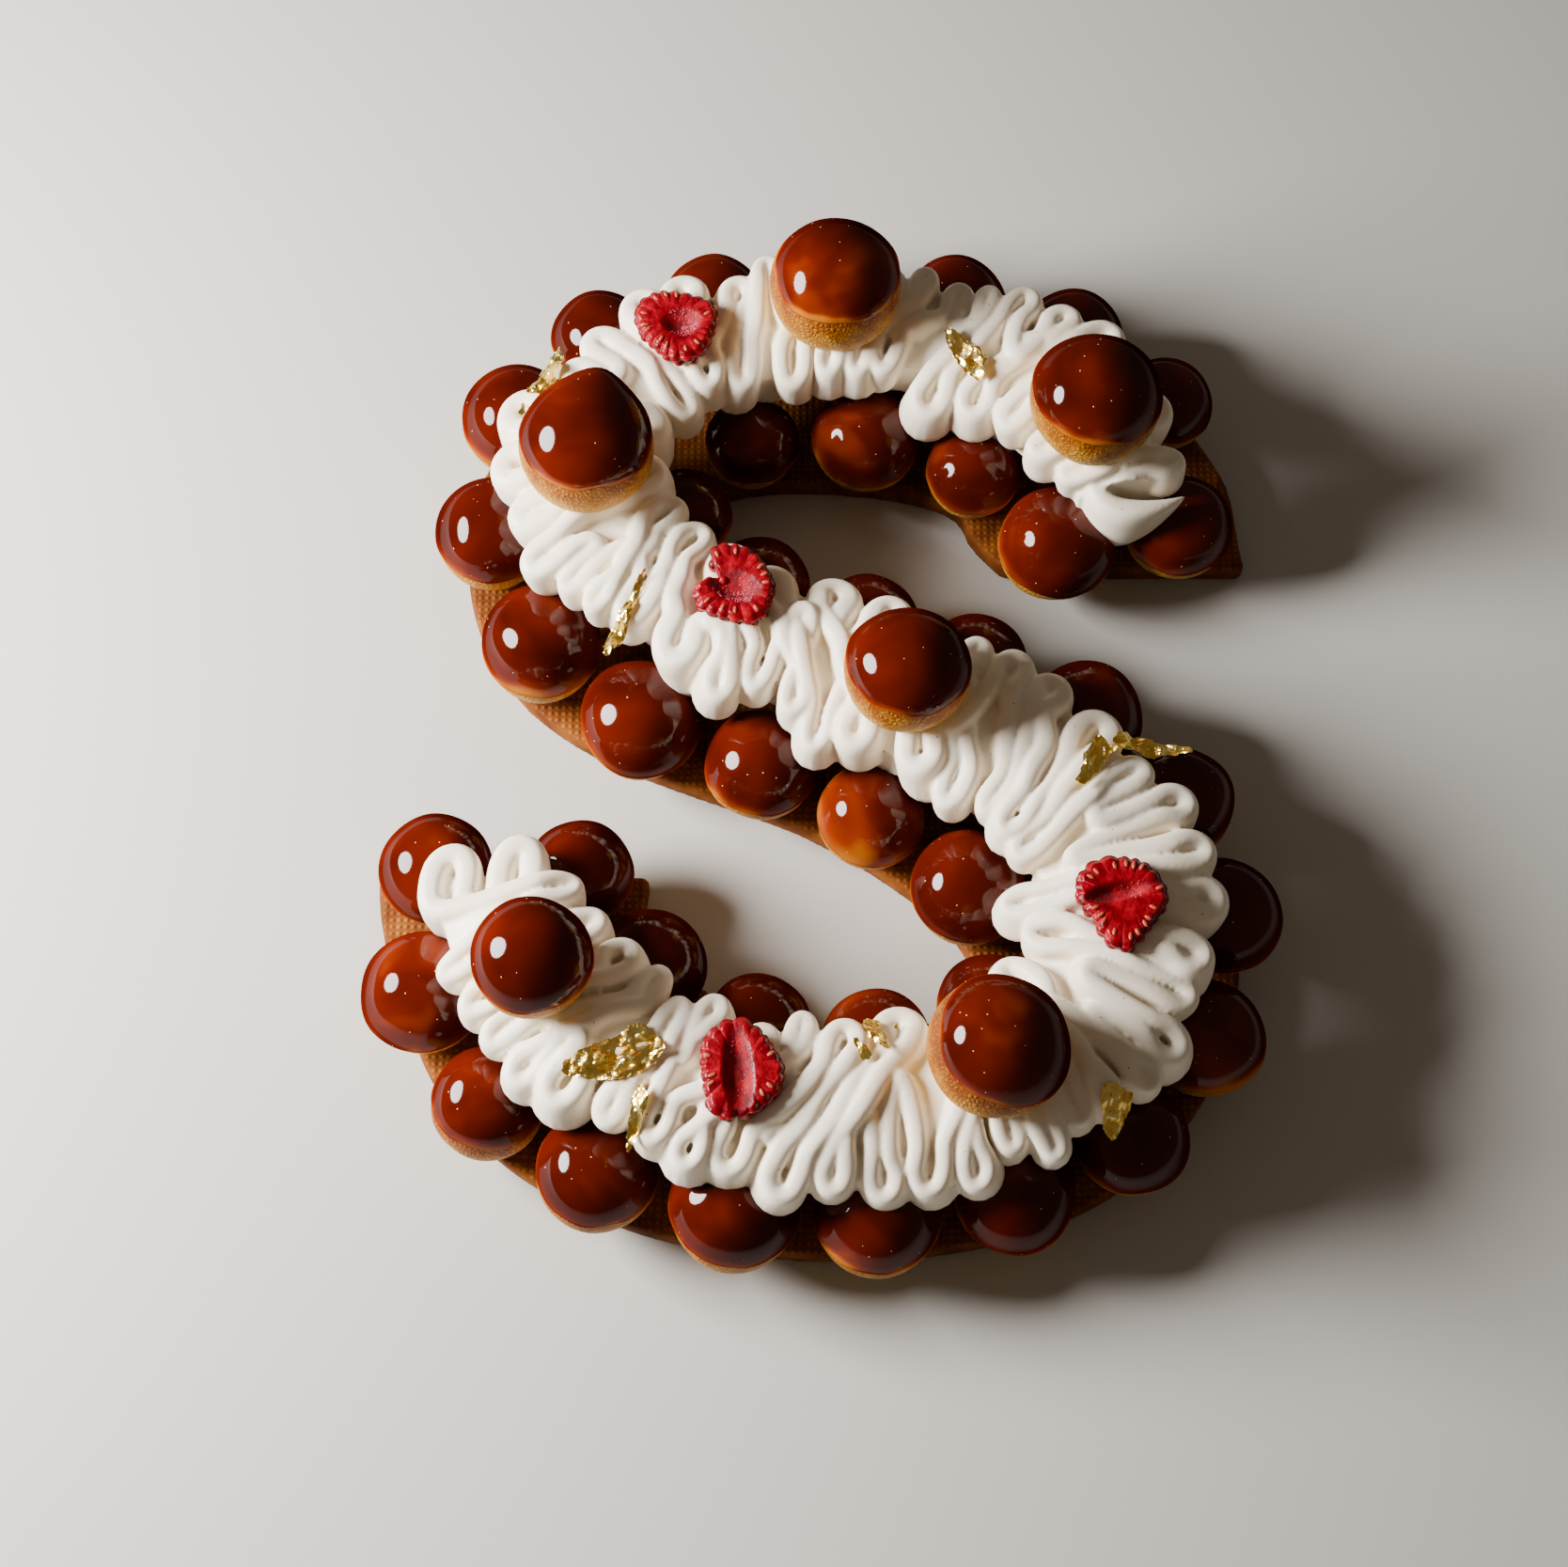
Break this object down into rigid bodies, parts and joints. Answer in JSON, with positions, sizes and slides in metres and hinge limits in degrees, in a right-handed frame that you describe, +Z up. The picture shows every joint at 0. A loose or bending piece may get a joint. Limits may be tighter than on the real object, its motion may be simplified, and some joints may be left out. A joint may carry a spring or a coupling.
{
  "type": "letter cake",
  "caption": "Cake shaped as a letter: shortcrust base, rows of caramel-topped cream puffs, whipped cream piped to and fro, halved raspberries and gold leaf.",
  "frame": {"origin": "on the surface that the cake lies on, under the middle of its bounding box", "axes": "+Z up, +Y towards the top of the letter, +X to the right as the letter reads"},
  "size_m": [0.277, 0.351, 0.09],
  "materials": {
    "shortcrust": "baked golden brown, fine dimpled texture",
    "caramel_puff": "glassy caramel over baked choux crust",
    "whipped_cream": "soft satin off-white with tiny dark specks",
    "raspberry": "moist fresh fruit",
    "gold_leaf": "crumpled bright gold leaf"
  },
  "bodies": {
    "root": {"shortcrust_base": "shortcrust", "piped_cream": "whipped_cream", "puff_right_01": "caramel_puff", "puff_right_02": "caramel_puff", "puff_right_03": "caramel_puff", "puff_right_04": "caramel_puff", "puff_right_05": "caramel_puff", "puff_right_06": "caramel_puff", "puff_right_07": "caramel_puff", "puff_right_08": "caramel_puff", "puff_right_09": "caramel_puff", "puff_right_10": "caramel_puff", "puff_right_11": "caramel_puff", "puff_right_12": "caramel_puff", "puff_right_13": "caramel_puff", "puff_right_14": "caramel_puff", "puff_right_15": "caramel_puff", "puff_right_16": "caramel_puff", "puff_right_17": "caramel_puff", "puff_right_18": "caramel_puff", "puff_right_19": "caramel_puff", "puff_left_01": "caramel_puff", "puff_left_02": "caramel_puff", "puff_left_03": "caramel_puff", "puff_left_04": "caramel_puff", "puff_left_05": "caramel_puff", "puff_left_06": "caramel_puff", "puff_left_07": "caramel_puff", "puff_left_08": "caramel_puff", "puff_left_09": "caramel_puff", "puff_left_10": "caramel_puff", "puff_left_11": "caramel_puff", "puff_left_12": "caramel_puff", "puff_left_13": "caramel_puff", "puff_left_14": "caramel_puff", "puff_left_15": "caramel_puff", "puff_left_16": "caramel_puff", "puff_left_17": "caramel_puff", "puff_left_18": "caramel_puff", "puff_left_19": "caramel_puff", "puff_left_20": "caramel_puff", "puff_top_01": "caramel_puff", "puff_top_02": "caramel_puff", "puff_top_03": "caramel_puff", "puff_top_04": "caramel_puff", "puff_top_05": "caramel_puff", "puff_top_06": "caramel_puff", "raspberry_01": "raspberry", "raspberry_02": "raspberry", "raspberry_03": "raspberry", "raspberry_04": "raspberry", "gold_leaf_01": "gold_leaf", "gold_leaf_02": "gold_leaf", "gold_leaf_03": "gold_leaf", "gold_leaf_04": "gold_leaf", "gold_leaf_05": "gold_leaf", "gold_leaf_06": "gold_leaf", "gold_leaf_07": "gold_leaf", "gold_leaf_08": "gold_leaf", "gold_leaf_09": "gold_leaf"}
  },
  "joints": []
}
